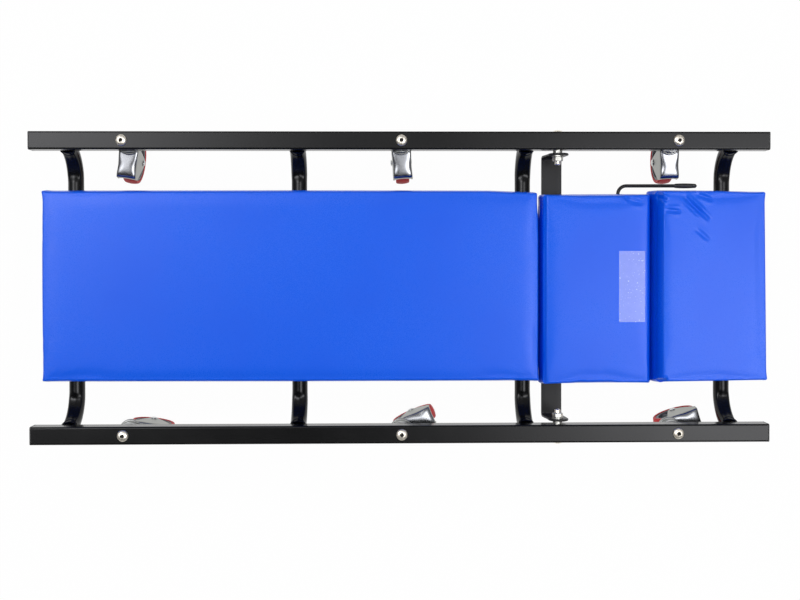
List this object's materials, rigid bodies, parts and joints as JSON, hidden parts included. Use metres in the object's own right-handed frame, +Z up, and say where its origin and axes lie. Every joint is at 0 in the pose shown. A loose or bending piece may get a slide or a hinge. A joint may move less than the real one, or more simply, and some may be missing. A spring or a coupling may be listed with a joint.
{
  "type": "mechanic creeper",
  "caption": "Low rolling mechanic's creeper: square rails on swivel casters, dropped cross tubes, a long blue cushion and a tilting headrest with a raised pillow.",
  "frame": {"origin": "on the floor under the middle of the frame", "axes": "+X to the head end, +Y to the left of someone who faces the head end, +Z up"},
  "size_m": [1.02, 0.4421, 0.127],
  "materials": {
    "black_paint": "semi-gloss powder coat",
    "black_bar": "satin powder coat",
    "black_wire": "black coated wire",
    "black_dip": "dipped soft vinyl",
    "black_plug": "moulded, matt",
    "plywood": "raw plywood",
    "blue_vinyl": "semi-gloss grained vinyl",
    "nickel_bolt": "nickel plated",
    "zinc": "zinc plated",
    "fork_chrome": "bright plated pressing",
    "grey_hub": "moulded, matt",
    "red_tread": "smooth, slightly glossy"
  },
  "bodies": {
    "frame": {"left_rail": "black_paint", "right_rail": "black_paint", "rail_end_caps": "black_plug", "foot_cross_tube": "black_paint", "waist_cross_tube": "black_paint", "shoulder_cross_tube": "black_paint", "head_cross_tube": "black_paint", "main_board": "plywood", "main_cushion": "blue_vinyl", "main_board_screws": "zinc", "caster_bolts": "nickel_bolt", "caster_nuts": "zinc", "caster_races": "zinc", "hinge_bolts": "nickel_bolt", "hinge_sleeves": "zinc", "hinge_washers": "zinc", "hinge_nuts": "zinc", "prop_rack": "black_paint"},
    "headrest": {"hinge_bar": "black_bar", "head_board": "plywood", "head_board_screws": "zinc", "neck_cushion": "blue_vinyl", "pillow_cushion": "blue_vinyl", "prop_clips": "zinc", "prop_clip_screws": "zinc"},
    "prop": {"prop_rod": "black_wire", "prop_grip": "black_dip"},
    "foot_left_caster": {"foot_left_fork": "fork_chrome", "foot_left_axle": "zinc"},
    "foot_left_wheel": {"foot_left_hub": "grey_hub", "foot_left_tread": "red_tread"},
    "middle_left_caster": {"middle_left_fork": "fork_chrome", "middle_left_axle": "zinc"},
    "middle_left_wheel": {"middle_left_hub": "grey_hub", "middle_left_tread": "red_tread"},
    "head_left_caster": {"head_left_fork": "fork_chrome", "head_left_axle": "zinc"},
    "head_left_wheel": {"head_left_hub": "grey_hub", "head_left_tread": "red_tread"},
    "foot_right_caster": {"foot_right_fork": "fork_chrome", "foot_right_axle": "zinc"},
    "foot_right_wheel": {"foot_right_hub": "grey_hub", "foot_right_tread": "red_tread"},
    "middle_right_caster": {"middle_right_fork": "fork_chrome", "middle_right_axle": "zinc"},
    "middle_right_wheel": {"middle_right_hub": "grey_hub", "middle_right_tread": "red_tread"},
    "head_right_caster": {"head_right_fork": "fork_chrome", "head_right_axle": "zinc"},
    "head_right_wheel": {"head_right_hub": "grey_hub", "head_right_tread": "red_tread"}
  },
  "joints": [
    {"name": "headrest_tilt", "type": "hinge", "parent": "frame", "child": "headrest", "pos_m": [0.217, 0, 0.1105], "axis": [0, -1, 0], "range_deg": [0, 40]},
    {"name": "prop_swing", "type": "hinge", "parent": "headrest", "child": "prop", "pos_m": [0.311, 0, 0.0665], "axis": [0, 1, 0], "range_deg": [0, 84.3]},
    {"name": "foot_left_swivel", "type": "hinge", "parent": "frame", "child": "foot_left_caster", "pos_m": [-0.383, 0.2025, 0.0757], "axis": [0, 0, 1], "continuous": true},
    {"name": "foot_left_spin", "type": "hinge", "parent": "foot_left_caster", "child": "foot_left_wheel", "pos_m": [-0.38606, 0.18071, 0.03175], "axis": [0.9903, -0.1392, 0], "continuous": true},
    {"name": "middle_left_swivel", "type": "hinge", "parent": "frame", "child": "middle_left_caster", "pos_m": [0, 0.2025, 0.0757], "axis": [0, 0, 1], "continuous": true},
    {"name": "middle_left_spin", "type": "hinge", "parent": "middle_left_caster", "child": "middle_left_wheel", "pos_m": [0.00153, 0.18055, 0.03175], "axis": [0.9976, 0.0698, 0], "continuous": true},
    {"name": "head_left_swivel", "type": "hinge", "parent": "frame", "child": "head_left_caster", "pos_m": [0.383, 0.2025, 0.0757], "axis": [0, 0, 1], "continuous": true},
    {"name": "head_left_spin", "type": "hinge", "parent": "head_left_caster", "child": "head_left_wheel", "pos_m": [0.38377, 0.18051, 0.03175], "axis": [0.9994, 0.0349, 0], "continuous": true},
    {"name": "foot_right_swivel", "type": "hinge", "parent": "frame", "child": "foot_right_caster", "pos_m": [-0.383, -0.2025, 0.0757], "axis": [0, 0, 1], "continuous": true},
    {"name": "foot_right_spin", "type": "hinge", "parent": "foot_right_caster", "child": "foot_right_wheel", "pos_m": [-0.36121, -0.20556, 0.03175], "axis": [0.1392, 0.9903, 0], "continuous": true},
    {"name": "middle_right_swivel", "type": "hinge", "parent": "frame", "child": "middle_right_caster", "pos_m": [0, -0.2025, 0.0757], "axis": [0, 0, 1], "continuous": true},
    {"name": "middle_right_spin", "type": "hinge", "parent": "middle_right_caster", "child": "middle_right_wheel", "pos_m": [0.02025, -0.1939, 0.03175], "axis": [-0.3907, 0.9205, 0], "continuous": true},
    {"name": "head_right_swivel", "type": "hinge", "parent": "frame", "child": "head_right_caster", "pos_m": [0.383, -0.2025, 0.0757], "axis": [0, 0, 1], "continuous": true},
    {"name": "head_right_spin", "type": "hinge", "parent": "head_right_caster", "child": "head_right_wheel", "pos_m": [0.40392, -0.1957, 0.03175], "axis": [-0.309, 0.9511, 0], "continuous": true}
  ],
  "couplings": [
    {"joint": "prop_swing", "follows": "headrest_tilt", "ratio": 2.1}
  ]
}
